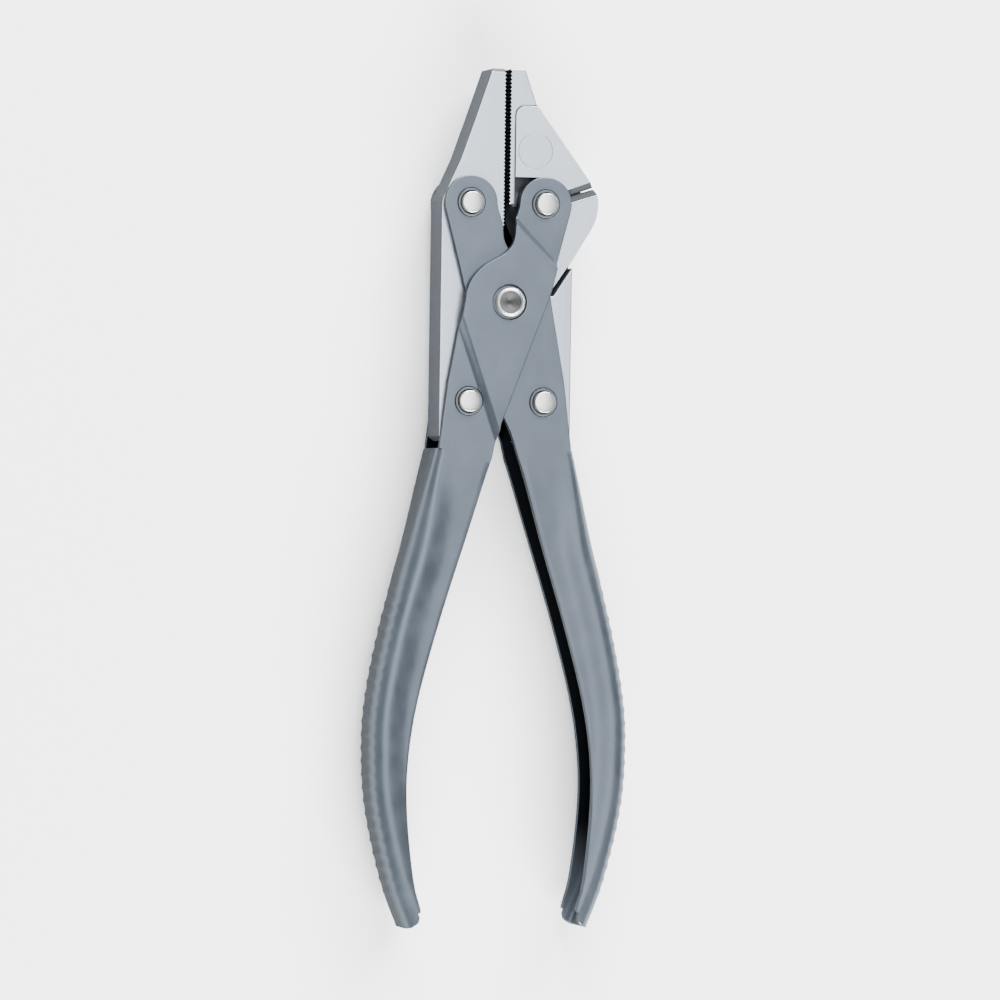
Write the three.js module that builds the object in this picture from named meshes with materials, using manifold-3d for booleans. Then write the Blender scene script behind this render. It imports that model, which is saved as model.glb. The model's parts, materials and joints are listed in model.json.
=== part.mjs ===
// Parallel-action flat-nose pliers with a side wire cutter, lying flat.
// Millimetres. X runs across the tool, Y along it to the jaw tips, Z is up.
// The two handles are one pressing used twice, the second turned over about Y.
import * as THREE from 'three';
import { mergeVertices } from 'three/addons/utils/BufferGeometryUtils.js';
import Module from 'manifold-3d';

const wasm = await Module();
wasm.setup();

// ---------- driving dimensions ----------
const tipY = 49;                    // jaw tips, from the central pivot
const endY = -131;                  // handle ends, from the central pivot
const rivetX = 8.1;                 // jaw and slot rivets, from the pivot
const rivetY = 20.75;
const openAngle = 31;               // handle angle at full opening, degrees
const closeAngle = 2.5;             // and from rest to the closed jaws

const jawHalf = 4.5;                // half the jaw thickness
const slip = 0.2;                   // play between sliding sheets and blocks
const sheet = 1.5;                  // handle sheet thickness
const cheekIn = jawHalf + slip;     // inner face of a flat cheek
const cheekOut = cheekIn + sheet;
const raise = sheet + slip;         // how far the joggled cheek steps up
const raisedOut = cheekOut + raise;

const jawGap = 1.0;                 // between the tooth crests at rest
const toothPitch = 0.8;
const toothDepth = 0.35;
const throatHalf = 3.9;             // half the free width between the jaw tails
const leftJawSide = 14.1;
const rightJawSide = 14.5;
const tailEndY = -29.1;
const tipChamfer = 0.7;             // slope along the front edge of the left jaw's end

const pinRadius = 2.2;
const pinProud = 1.4;
const collarInner = 2.42;
const collarOuter = 2.92;
const cheekHole = 3.0;
const slotPlay = 0.4;               // free length past the pin at each end of its travel

const pivotRadius = 3.0;
const pivotBore = 2.4;
const pivotProud = 1.2;
const bushingOuter = 3.55;
const pivotHole = 3.65;
const bushingSunk = 0.45;

const endCorner = 3.5;              // rounded free corners of the handle's end
const endCornerX = -20.1;
const foldStart = 1.7;              // outside radius of the handle's fold where it begins
const foldRadius = 3.4;             // and along the grip
const foldGrowth = 24;              // length over which the fold opens out
const cheekDip = 0.8;               // how far the grip's cheeks sink from the fold to the free edge
const dipWidth = 4.2;
const backStart = [-14.8, -30.6];   // where the folded back begins
const cheekFoot = [-14.36, -30.75]; // the cheek's outer corner there, set in to meet the fold's curve
const bossRadius = 5.65;            // rounded cheek ends round the jaw rivets

const pocketFloor = 1.6;            // height of the cutter pocket's floor
const stripWidth = 1.25;            // toothed strip left in front of the pocket
const notchAngle = 18.5;            // cutting line, degrees above +X at its rivet
const notchHalf = 0.8;              // half the angle between the cutting edges at rest
const bladeBoss = 5.3;              // moving plate's radius under the cheek
const bladeClear = 5.7;             // fixed plate's hollow round that boss
const bladeReach = 11.6;            // cutting edge's outer end, from the rivet
const bladeFloor = pocketFloor + slip;
const notchBevel = 1.3;
const notchDepth = 2.2;             // how far the notch reaches into the jaw block under the plates
const plateTopY = 41.4;
const plateCorner = 2.1;
const plateGap = 0.08;
const jawCorner = [6.3, 41.6];      // where the right jaw's slim tip widens
const plateRivet = [6.15, 31.9];
const plateRivetHead = 3.7;
const plateRivetShank = 2.0;
const plateRivetHeel = 3.0;
const headDepth = 1.0;
const dowelPlace = [9.4, 12.8];
const dowelRadius = 1.25;
const dowelLow = 2.4;
const dowelHigh = 5.7;
const closeFit = 0.05;

const roundSteps = 24;
const deg = Math.PI / 180;
const V = (x, y) => new THREE.Vector2(x, y);

// ---------- materials ----------
const steel = (color, roughness) => new THREE.MeshStandardMaterial({ color, roughness, metalness: 1 });
const handleSteel = steel(0x8a9299, 0.5);
const jawSteel = steel(0xb9bec3, 0.38);
const bladeSteel = steel(0xc1c5c9, 0.33);
const rivetSteel = steel(0xdde0e2, 0.2);
const collarSteel = steel(0x777e85, 0.45);

// ---------- solids ----------
function solid(geometry) {
  geometry.deleteAttribute('normal');
  geometry.deleteAttribute('uv');
  const merged = mergeVertices(geometry, 1e-5);
  return new wasm.Manifold(new wasm.Mesh({
    numProp: 3,
    vertProperties: new Float32Array(merged.attributes.position.array),
    triVerts: new Uint32Array(merged.index.array),
  }));
}

function prism(shape, low, high) {
  const geometry = new THREE.ExtrudeGeometry(shape, {
    depth: high - low, bevelEnabled: false, curveSegments: 12,
  });
  return solid(geometry.translate(0, 0, low));
}

// A turned piece from [radius, height] pairs that start and end on the axis or close on themselves.
function turned(profile, x = 0, y = 0) {
  const points = profile.map(([radius, height]) => V(radius, height));
  const geometry = new THREE.LatheGeometry(points, roundSteps);
  return solid(geometry.rotateX(Math.PI / 2).translate(x, y, 0));
}

function rod(radius, low, high, x = 0, y = 0) {
  return turned([[0, low], [radius, low], [radius, high], [0, high]], x, y);
}

function ring(inner, outer, low, high, x = 0, y = 0) {
  return turned([[inner, low], [outer, low], [outer, high], [inner, high], [inner, low]], x, y);
}

// The half-space below a stepped surface: high on one side of a line, low past a soft ramp.
function underStep(onLine, away, run, highZ, lowZ) {
  const reach = 250;
  const points = [V(-reach, -reach), V(-reach, highZ), V(0, highZ)];
  const rampSteps = 4;
  for (let i = 1; i < rampSteps; i += 1) {
    const t = i / rampSteps;
    points.push(V(run * t, highZ + (lowZ - highZ) * t * t * (3 - 2 * t)));
  }
  points.push(V(run, lowZ), V(reach, lowZ), V(reach, -reach));
  const geometry = new THREE.ExtrudeGeometry(new THREE.Shape(points.reverse()), {
    depth: 2 * reach, bevelEnabled: false,
  });
  geometry.translate(0, 0, -reach).rotateX(Math.PI / 2).rotateZ(away * deg);
  return solid(geometry.translate(onLine.x, onLine.y, 0));
}

function mesh(name, body, material) {
  const { vertProperties, triVerts } = body.getMesh();
  const geometry = new THREE.BufferGeometry();
  geometry.setAttribute('position', new THREE.BufferAttribute(new Float32Array(vertProperties), 3));
  geometry.setIndex(new THREE.BufferAttribute(new Uint32Array(triVerts), 1));
  geometry.computeVertexNormals();
  const result = new THREE.Mesh(geometry, material);
  result.name = name;
  return result;
}

// ---------- handle ----------
// Outer line of the grip, from the start of the folded back to just past the handle's end.
const gripBack = new THREE.SplineCurve([
  V(...backStart), V(-19.75, -50), V(-24.5, -67.5), V(-27.5, -83), V(-28.1, -94),
  V(-27.2, -106), V(-24, -120), V(-20.6, endY + 2), V(-19.6, endY - 2),
]);
// Free edge of the grip's cheeks, from below the crotch to the handle's end.
const gripEdge = new THREE.SplineCurve([
  V(-2.9, -32.6), V(-4.5, -37.4), V(-8.3, -50), V(-13.6, -67), V(-17.9, -83), V(-19.8, -95),
  V(-20, -106), V(-18.6, -120), V(-16.6, endY + 2), V(-16.3, endY - 2),
]);
const gripSteps = 44;
const foldSteps = 6;
const dipSteps = 4;

const smooth = (t) => t * t * (3 - 2 * t);

// Distance from a point on the back, square to it, to the grip's free edge.
function channelDepth(point, inward) {
  const edge = gripEdge.getSpacedPoints(120);
  for (let i = 1; i < edge.length; i += 1) {
    const a = edge[i - 1].clone().sub(point);
    const b = edge[i].clone().sub(point);
    const alongA = a.cross(inward);
    const alongB = b.cross(inward);
    if (alongA * alongB <= 0 && a.dot(inward) > 0) {
      return a.lerp(b, alongA / (alongA - alongB)).dot(inward);
    }
  }
  throw new Error('the free edge ends short of the back');
}

// Half of the U section, from the free edge to the middle of the back, as [inward, height] pairs.
function sectionHalf(depth, radius, dip, inset) {
  const half = [];
  for (let k = 0; k <= dipSteps; k += 1) {
    const across = depth + (radius - depth) * (k / dipSteps);
    const sunk = dip * smooth(Math.min((across - radius) / dipWidth, 1));
    half.push([across, cheekOut - sunk - inset]);
  }
  for (let k = 1; k <= foldSteps; k += 1) {
    const turn = (90 * k / foldSteps) * deg;
    const reach = radius - inset;
    half.push([radius - reach * Math.sin(turn), cheekOut - radius + reach * Math.cos(turn)]);
  }
  return half;
}

// The folded grip: a U section whose depth, fold and cheeks change along the back.
function gripSolid() {
  const verts = [];
  const faces = [];
  let ringSize = 0;
  for (let i = 0; i <= gripSteps; i += 1) {
    const point = gripBack.getPointAt(i / gripSteps);
    const tangent = gripBack.getTangentAt(i / gripSteps);
    const inward = V(-tangent.y, tangent.x);
    const travelled = gripBack.getLength() * (i / gripSteps);
    const opened = smooth(Math.min(travelled / foldGrowth, 1));
    const radius = foldStart + (foldRadius - foldStart) * opened;
    const depth = channelDepth(point, inward);
    const upper = [0, sheet].map((inset) => sectionHalf(depth, radius, cheekDip * opened, inset));
    const [outer, inner] = upper.map((half) => [
      ...half, ...half.map(([across, height]) => [across, -height]).reverse(),
    ]);
    const ringPoints = [...outer, ...inner.reverse()];
    ringSize = ringPoints.length;
    ringPoints.forEach(([across, height]) => {
      verts.push(point.x + inward.x * across, point.y + inward.y * across, height);
    });
  }
  for (let i = 0; i < gripSteps; i += 1) {
    for (let k = 0; k < ringSize; k += 1) {
      const a = i * ringSize + k;
      const b = i * ringSize + ((k + 1) % ringSize);
      faces.push(a, b, b + ringSize, a, b + ringSize, a + ringSize);
    }
  }
  const last = gripSteps * ringSize;
  for (let k = 0; k < ringSize / 2 - 1; k += 1) {
    const far = ringSize - 1 - k;
    faces.push(k, far, k + 1, k + 1, far, far - 1);
    faces.push(last + k, last + k + 1, last + far, last + k + 1, last + far - 1, last + far);
  }
  return new wasm.Manifold(new wasm.Mesh({
    numProp: 3,
    vertProperties: new Float32Array(verts),
    triVerts: new Uint32Array(faces),
  }));
}

// Everything inside the grip's rounded end.
function endTrim() {
  const shape = new THREE.Shape();
  shape.moveTo(-40, 0);
  shape.lineTo(-40, endY);
  shape.absarc(endCornerX, endY + endCorner, endCorner, 1.5 * Math.PI, 2 * Math.PI, false);
  shape.lineTo(0, endY + endCorner);
  shape.lineTo(0, 0);
  return prism(shape, -20, 20);
}

// Free edges of the raised front cheek and of the flat rear one, from the grip up to the waist.
const frontCrotch = [[-2.2, -29.2], [-1.5, -25.6]];
const rearCrotch = [[-1.7, -28.9], [-0.9, -26.8], [0.4, -24.2]];

// Plan of a cheek above the grip: rounded end at the jaw rivet, waist, root of the grip.
function cheekPlan(crotch) {
  const shape = new THREE.Shape();
  shape.moveTo(-3.6, -34.6);
  shape.lineTo(-2.9, -32.6);
  crotch.forEach(([x, y]) => shape.lineTo(x, y));
  shape.lineTo(8.7, 1.2);
  shape.quadraticCurveTo(9.4, 3, 9.8, 5);
  shape.absarc(rivetX, rivetY, bossRadius, -14 * deg, 182 * deg, false);
  shape.bezierCurveTo(2.2, 18.6, 1.0, 17, 1.1, 15);
  shape.bezierCurveTo(1.0, 9.6, -3.4, 9.6, -6.0, 7.2);
  shape.bezierCurveTo(-8.4, 5.2, -9.4, 3, -9.5, 0.5);
  shape.lineTo(-10.6, -5.6);
  shape.lineTo(-12.6, -16.5);
  shape.lineTo(...cheekFoot);
  shape.lineTo(backStart[0] + 2.8, backStart[1] - 1.6);
  return prism(shape, -20, 20);
}

function slab(low, high) {
  return solid(new THREE.BoxGeometry(400, 400, high - low).translate(0, 0, (low + high) / 2));
}

function handleSolid() {
  const underFace = (face) => underStep(V(1.1, 16.5), 43.8, 1.5, face + raise, face)
    .intersect(underStep(V(-9.77, -3.3), 199.3, 1.7, face + raise, face));
  const front = cheekPlan(frontCrotch).intersect(underFace(cheekOut).subtract(underFace(cheekIn)));
  const rear = cheekPlan(rearCrotch).intersect(slab(-cheekOut, -cheekIn));
  let handle = gripSolid().intersect(endTrim()).add(rear).add(front);
  [1, -1].forEach((side) => {
    handle = handle.subtract(rod(cheekHole, -10, 10, side * rivetX, side * rivetY));
  });
  // Pivot holes: wide in the raised front cheek, countersunk from inside in the flat rear one.
  handle = handle.subtract(rod(pivotHole, 0, 10));
  handle = handle.subtract(rod(pivotRadius + 0.1, -10, 0));
  handle = handle.subtract(turned([
    [0, -cheekOut + 0.4], [pivotRadius + 0.1, -cheekOut + 0.4], [pivotRadius + 0.9, -cheekIn + 0.1],
    [0, -cheekIn + 0.1],
  ]));
  return handle;
}

// ---------- jaws ----------
const armLength = Math.hypot(rivetX, rivetY);
const armAngle = Math.atan2(rivetX, rivetY);

// Where the sliding rivet stands in a jaw's tail when the handles have turned by this angle.
function slotRivetY(handleAngle) {
  return rivetY - 2 * armLength * Math.cos(armAngle + (handleAngle / 2) * deg);
}

function slot(side) {
  const x = side * rivetX;
  const radius = pinRadius + 0.1;
  const shape = new THREE.Shape();
  shape.absarc(x, slotRivetY(-closeAngle) - slotPlay, radius, Math.PI, 2 * Math.PI, false);
  shape.absarc(x, slotRivetY(openAngle) + slotPlay, radius, 0, Math.PI, false);
  return prism(shape, -jawHalf - 1, jawHalf + 1);
}

// Cross teeth on a gripping face, drawn up or down the tool.
function toothedEdge(shape, side, fromY, toY) {
  const crest = side * (jawGap / 2);
  const count = Math.round(Math.abs(toY - fromY) / toothPitch);
  const step = (toY - fromY) / count;
  for (let i = 0; i < count; i += 1) {
    shape.lineTo(crest + side * toothDepth, fromY + step * (i + 0.5));
    shape.lineTo(crest, fromY + step * (i + 1));
  }
}

// Slope ground along the front edge of a jaw's end.
function tipChamferCut() {
  const shape = new THREE.Shape([
    V(tipY - tipChamfer, jawHalf), V(tipY + 1, jawHalf - tipChamfer - 1), V(tipY + 1, jawHalf + 1),
    V(tipY - tipChamfer, jawHalf + 1),
  ]);
  const geometry = new THREE.ExtrudeGeometry(shape, { depth: 30, bevelEnabled: false });
  geometry.translate(0, 0, -20);
  geometry.applyMatrix4(new THREE.Matrix4().makeBasis(
    new THREE.Vector3(0, 1, 0), new THREE.Vector3(0, 0, 1), new THREE.Vector3(1, 0, 0),
  ));
  return solid(geometry);
}

function leftJawSolid() {
  const shape = new THREE.Shape();
  shape.moveTo(-jawGap / 2, 15.5);
  toothedEdge(shape, -1, 15.5, tipY - 0.3);
  shape.lineTo(-jawGap / 2 - 0.3, tipY);
  shape.lineTo(-3.4, tipY);
  shape.lineTo(-7.1, 38.2);
  shape.lineTo(-10.1, 29.8);
  shape.lineTo(-13.8, 21.8);
  shape.quadraticCurveTo(-leftJawSide, 21.1, -leftJawSide, 19.8);
  shape.lineTo(-leftJawSide, tailEndY + 1);
  shape.lineTo(-leftJawSide + 1.2, tailEndY);
  shape.lineTo(-throatHalf, tailEndY);
  shape.lineTo(-throatHalf, 9.5);
  return prism(shape, -jawHalf, jawHalf)
    .subtract(tipChamferCut())
    .subtract(rod(pinRadius + 0.1, -10, 10, -rivetX, rivetY))
    .subtract(slot(-1));
}

function notchEnd(side, radius) {
  const angle = (notchAngle + side * notchHalf) * deg;
  return [rivetX + radius * Math.cos(angle), rivetY + radius * Math.sin(angle)];
}

// Sloping face ground along a cutting edge; side 1 is above the notch, -1 below it.
function notchBevelCut(side) {
  const angle = (notchAngle + side * notchHalf) * deg;
  const shape = new THREE.Shape([
    V(-0.5 * side, jawHalf + 0.5),
    V(-0.5 * side, jawHalf - notchBevel - 0.5),
    V((notchBevel + 0.5) * side, jawHalf + 0.5),
  ]);
  const geometry = new THREE.ExtrudeGeometry(shape, { depth: bladeReach, bevelEnabled: false });
  geometry.translate(0, 0, bladeBoss - 1);
  geometry.applyMatrix4(new THREE.Matrix4().makeBasis(
    new THREE.Vector3(-Math.sin(angle), Math.cos(angle), 0),
    new THREE.Vector3(0, 0, 1),
    new THREE.Vector3(Math.cos(angle), Math.sin(angle), 0),
  ));
  return solid(geometry.translate(rivetX, rivetY, 0));
}

// The recess for both cutter plates, open to the throat and to the jaw's outer side.
function cutterPocket(edge, low) {
  const left = jawGap / 2 + stripWidth + edge;
  const top = plateTopY - edge;
  const shape = new THREE.Shape();
  shape.moveTo(-1, 20.6);
  shape.lineTo(left, 20.6);
  shape.lineTo(left, top - plateCorner);
  shape.absarc(left + plateCorner, top - plateCorner, plateCorner, 180 * deg, 90 * deg, true);
  shape.lineTo(25, top);
  shape.lineTo(25, 24);
  shape.lineTo(15.9, 9.8);
  shape.lineTo(10.4, 1.6);
  shape.lineTo(-1, 1.6);
  return prism(shape, low, jawHalf + 1);
}

function rightJawPlan() {
  const shape = new THREE.Shape();
  shape.moveTo(throatHalf, tailEndY);
  shape.lineTo(rightJawSide - 1.2, tailEndY);
  shape.lineTo(rightJawSide, tailEndY + 1);
  shape.lineTo(rightJawSide, 10);
  shape.bezierCurveTo(16.6, 13, 18.2, 17, 18.4, 21);
  shape.lineTo(...notchEnd(-1, bladeReach - notchDepth));
  shape.lineTo(...notchEnd(1, bladeReach - notchDepth));
  shape.lineTo(...notchEnd(1, bladeReach));
  shape.lineTo(...jawCorner);
  shape.lineTo(3.7, tipY);
  shape.lineTo(jawGap / 2 + 0.3, tipY);
  shape.lineTo(jawGap / 2, tipY - 0.3);
  toothedEdge(shape, 1, tipY - 0.3, 16.8);
  shape.lineTo(throatHalf, 9.5);
  return shape;
}

function plateRivetHole(x, y) {
  return rod(plateRivetShank + closeFit, -10, 10, x, y)
    .add(rod(plateRivetHead + closeFit, jawHalf - headDepth - closeFit, 10, x, y))
    .add(rod(plateRivetHeel + closeFit, -10, headDepth + closeFit - jawHalf, x, y));
}

function rightJawSolid() {
  return prism(rightJawPlan(), -jawHalf, jawHalf)
    .subtract(cutterPocket(0, pocketFloor))
    .subtract(rod(pinRadius + 0.1, -10, 10, rivetX, rivetY))
    .subtract(plateRivetHole(...plateRivet))
    .subtract(slot(1));
}

// ---------- cutter ----------
function fixedBladeSolid() {
  const lowerY = rivetY + bladeClear - 0.1;
  const shape = new THREE.Shape();
  shape.moveTo(0, lowerY);
  shape.lineTo(rivetX, lowerY);
  shape.absarc(rivetX, rivetY, bladeClear, 80 * deg, (notchAngle + notchHalf) * deg, true);
  shape.lineTo(...notchEnd(1, bladeReach));
  shape.lineTo(...jawCorner);
  shape.lineTo(0, jawCorner[1]);
  return prism(shape, pocketFloor + closeFit, jawHalf)
    .intersect(cutterPocket(plateGap, 0))
    .subtract(notchBevelCut(1))
    .subtract(plateRivetHole(...plateRivet));
}

function movingBladeSolid() {
  const shape = new THREE.Shape();
  shape.moveTo(...notchEnd(-1, bladeReach));
  shape.bezierCurveTo(19.9, 23.4, 20.3, 21.5, 19.8, 19.1);
  shape.bezierCurveTo(19.5, 17.2, 18.4, 15.4, 17.9, 14.7);
  shape.lineTo(14.6, 9.4);
  shape.lineTo(10.2, 3.1);
  shape.lineTo(8.8, 3.2);
  shape.lineTo(4.0, 14.5);
  shape.absarc(rivetX, rivetY, bladeBoss, 185 * deg, (notchAngle - notchHalf) * deg, true);
  return prism(shape, bladeFloor, jawHalf)
    .subtract(notchBevelCut(-1))
    .subtract(rod(pinRadius + closeFit, -10, 10, rivetX, rivetY))
    .subtract(rod(dowelRadius + closeFit, dowelLow - closeFit, 10, ...dowelPlace));
}

function plateRivetSolid() {
  return turned([
    [0, -jawHalf], [plateRivetHeel, -jawHalf], [plateRivetHeel, headDepth - jawHalf],
    [plateRivetShank, headDepth - jawHalf], [plateRivetShank, jawHalf - headDepth],
    [plateRivetHead, jawHalf - headDepth], [plateRivetHead, jawHalf], [0, jawHalf],
  ]);
}

// ---------- rivets ----------
function pinSolid() {
  const end = cheekOut + pinProud;
  const edge = 0.25;
  return turned([
    [0, -end], [pinRadius - edge, -end], [pinRadius, edge - end],
    [pinRadius, end - edge], [pinRadius - edge, end], [0, end],
  ]);
}

function pivotSolid() {
  const foot = cheekIn + closeFit;
  const rim = raisedOut + pivotProud;
  return turned([
    [0, foot], [pivotRadius + 0.7, foot], [pivotRadius, foot + 0.95], [pivotRadius, rim - 0.25],
    [pivotRadius - 0.25, rim], [pivotBore, rim], [pivotBore, rim - 1.2],
    [pivotBore - 0.5, rim - 1.5], [0, rim - 2.5],
  ]);
}

function bushingSolid() {
  return ring(pivotRadius + closeFit, bushingOuter, cheekOut + slip + closeFit, raisedOut - bushingSunk);
}

// ---------- assembly ----------
function place(part, x, y) {
  part.position.set(x, y, 0);
  return part;
}

// One handle with what is fixed to it; the second handle is the same group turned over.
function handleGroup(side, upperPin, lowerPin, end) {
  const group = new THREE.Group();
  group.add(mesh(`${side}_handle`, handleMaster, handleSteel));
  [[upperPin, 1], [lowerPin, -1]].forEach(([name, sign]) => {
    const x = sign * rivetX;
    const y = sign * rivetY;
    group.add(place(mesh(`${name}_rivet`, pin, rivetSteel), x, y));
    ['upper_face', 'under_face'].forEach((face, i) => {
      const collar = place(mesh(`${name}_collar_${face}`, collarRing, collarSteel), x, y);
      collar.rotation.y = i * Math.PI;
      group.add(collar);
    });
  });
  group.add(mesh(`${end}_pivot_rivet`, pivotSolid(), rivetSteel));
  group.add(mesh(`${end}_pivot_bushing`, bushingSolid(), collarSteel));
  return group;
}

const handleMaster = handleSolid().subtract(rod(dowelRadius + closeFit, 0, dowelHigh + closeFit, ...dowelPlace));
const pin = pinSolid();
const collarRing = ring(collarInner, collarOuter, cheekIn + closeFit, cheekOut + 0.1);

const leftHandle = handleGroup('left', 'right_jaw', 'left_slot', 'front');
leftHandle.add(mesh('moving_cutter_blade', movingBladeSolid(), bladeSteel));
leftHandle.add(place(mesh('cutter_dowel', rod(dowelRadius, dowelLow, dowelHigh), rivetSteel), ...dowelPlace));

const rightHandle = handleGroup('right', 'left_jaw', 'right_slot', 'rear');
rightHandle.rotation.y = Math.PI;

const leftJaw = new THREE.Group().add(mesh('left_jaw', leftJawSolid(), jawSteel));

const rightJaw = new THREE.Group().add(mesh('right_jaw', rightJawSolid(), jawSteel));
rightJaw.add(mesh('fixed_cutter_blade', fixedBladeSolid(), bladeSteel));
rightJaw.add(place(mesh('cutter_blade_rivet', plateRivetSolid(), jawSteel), ...plateRivet));

// Origin under the middle of the whole tool, at the height of the surface it lies on.
const pliers = new THREE.Group().add(leftHandle, rightHandle, leftJaw, rightJaw);
pliers.position.set(0, -(tipY + endY) / 2, raisedOut + pivotProud);

export default pliers;
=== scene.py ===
"""Looks of a pair of parallel-action flat-nose pliers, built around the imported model.

Lengths are metres in the frame's own axes: +Y to the jaw tips, +X to the cutter's side, +Z up.
"""
import json
import math

import bmesh
import bpy
from mathutils import Matrix, Vector
from mathutils.geometry import interpolate_bezier, intersect_line_line_2d


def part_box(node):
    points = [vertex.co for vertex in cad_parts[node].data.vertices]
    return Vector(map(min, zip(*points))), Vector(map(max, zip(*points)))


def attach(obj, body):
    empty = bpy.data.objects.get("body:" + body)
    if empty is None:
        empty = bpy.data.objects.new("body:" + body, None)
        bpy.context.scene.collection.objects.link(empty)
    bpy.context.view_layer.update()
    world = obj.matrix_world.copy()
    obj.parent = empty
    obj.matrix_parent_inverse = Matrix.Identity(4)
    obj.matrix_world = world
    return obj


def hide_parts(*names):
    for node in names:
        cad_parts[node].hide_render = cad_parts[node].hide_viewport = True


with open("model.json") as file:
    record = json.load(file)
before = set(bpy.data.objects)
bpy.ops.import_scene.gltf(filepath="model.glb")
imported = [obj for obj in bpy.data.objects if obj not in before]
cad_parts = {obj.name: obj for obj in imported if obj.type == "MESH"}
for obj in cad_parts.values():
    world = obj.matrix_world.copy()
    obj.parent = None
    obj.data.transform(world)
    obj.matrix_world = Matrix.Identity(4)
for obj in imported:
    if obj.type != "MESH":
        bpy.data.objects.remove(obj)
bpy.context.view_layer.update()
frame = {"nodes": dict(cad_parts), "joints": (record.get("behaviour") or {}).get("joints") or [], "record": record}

bl_info = {
    "name": "Parallel pliers",
    "version": (1, 0, 0),
    "blender": (4, 5, 0),
    "location": "View3D > Sidebar > Pliers",
    "description": "Builds the visible pieces of parallel-action pliers round their packed frame",
    "category": "Add Mesh",
}

MM = 0.001
EDGE_MASK = "edge"
SHADE_MASK = "shade"

# Painted shade: how far each kind of face is darkened, from 0 on a ground face.
INSIDE_SHADE = 1.0
PLATE_EDGE_SHADE = 0.95
JAW_SIDE_SHADE = 0.93
BORE_SHADE = 0.92
POCKET_AND_TIP_SHADE = 0.85
PIN_SIDE_SHADE = 0.8
RIM_SIDE_SHADE = 0.5

JOINTS = {joint["name"]: joint for joint in frame["joints"]}
PIVOT = Vector(JOINTS["handles_open"]["pos_m"])
RIVET = Vector(JOINTS["right_jaw_swing"]["pos_m"]) - PIVOT
RECORD = frame["record"]


# ---------------------------------------------------------------- settings

class SteelSettings(bpy.types.PropertyGroup):
    """Colours and finishes of the steels."""

    handle_colour: bpy.props.FloatVectorProperty(
        name="Handle steel", description="Colour of the satin handle sheet", subtype="COLOR",
        size=3, min=0.0, max=1.0, default=(0.128, 0.152, 0.185))
    jaw_colour: bpy.props.FloatVectorProperty(
        name="Jaw steel", description="Colour of the ground jaw blocks", subtype="COLOR",
        size=3, min=0.0, max=1.0, default=(0.57, 0.63, 0.72))
    blade_colour: bpy.props.FloatVectorProperty(
        name="Blade steel", description="Colour of the cutter plates", subtype="COLOR",
        size=3, min=0.0, max=1.0, default=(0.62, 0.68, 0.76))
    rivet_colour: bpy.props.FloatVectorProperty(
        name="Rivet steel", description="Colour of the polished rivets", subtype="COLOR",
        size=3, min=0.0, max=1.0, default=(0.84, 0.85, 0.86))
    collar_colour: bpy.props.FloatVectorProperty(
        name="Collar steel", description="Colour of the dull rings round the rivets", subtype="COLOR",
        size=3, min=0.0, max=1.0, default=(0.14, 0.155, 0.17))


class HandleSettings(bpy.types.PropertyGroup):
    """Edges and grip ribs of the handles."""

    edge: bpy.props.FloatProperty(
        name="Edge rounding", description="Width of the rounded sheet edges", unit="LENGTH",
        min=0.0, default=0.22 * MM)
    rib_pitch: bpy.props.FloatProperty(
        name="Scallop pitch", description="Distance between grip scallops along the back",
        unit="LENGTH", min=1.0 * MM, default=2.8 * MM)
    rib_depth: bpy.props.FloatProperty(
        name="Scallop depth", description="How deep the scallops are pressed", unit="LENGTH",
        min=0.0, default=0.26 * MM)


class JawSettings(bpy.types.PropertyGroup):
    """Edges of the jaw blocks and cutter plates."""

    edge: bpy.props.FloatProperty(
        name="Jaw edge", description="Width of the chamfers on the jaw blocks", unit="LENGTH",
        min=0.0, default=0.30 * MM)
    plate_edge: bpy.props.FloatProperty(
        name="Plate edge", description="Width of the broken edges of the cutter plates",
        unit="LENGTH", min=0.0, default=0.08 * MM)


class RivetSettings(bpy.types.PropertyGroup):
    """Shape of the rivets and rings."""

    turns: bpy.props.IntProperty(
        name="Round steps", description="Faces round each turned piece", min=16, default=72)
    dome: bpy.props.FloatProperty(
        name="Dome", description="How far a pin's polished face is crowned", unit="LENGTH",
        min=0.0, default=0.10 * MM)


class StageSettings(bpy.types.PropertyGroup):
    """Camera, floor and lights."""

    tilt: bpy.props.FloatProperty(
        name="Camera tilt", description="Lean of the camera to the left of straight down",
        subtype="ANGLE", unit="ROTATION", default=math.radians(16))
    roll: bpy.props.FloatProperty(
        name="Camera roll", description="Turn of the picture", subtype="ANGLE",
        unit="ROTATION", default=math.radians(0.8))
    distance: bpy.props.FloatProperty(
        name="Camera distance", description="From the camera to the tool", unit="LENGTH",
        default=1.2)
    view_width: bpy.props.FloatProperty(
        name="View width", description="Width seen at the tool", unit="LENGTH", default=0.210)
    floor_colour: bpy.props.FloatVectorProperty(
        name="Floor", description="Colour of the plain floor", subtype="COLOR", size=3,
        min=0.0, max=1.0, default=(1.0, 1.0, 1.0))
    fill: bpy.props.FloatProperty(
        name="Fill", description="Strength of the even light from all round", default=0.28)
    key: bpy.props.FloatProperty(
        name="Key", description="Power of the large soft lights past the two ends", default=95.0)


# ---------------------------------------------------------------- names and places

def body_of(node):
    bodies = RECORD["behaviour"]["bodies"]
    return next(body for body, nodes in bodies.items() if node in nodes)


def size_of(node):
    low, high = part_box(node)
    return high - low


def middle_of(node):
    low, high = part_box(node)
    return (low + high) / 2


# ---------------------------------------------------------------- curves in plan

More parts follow.
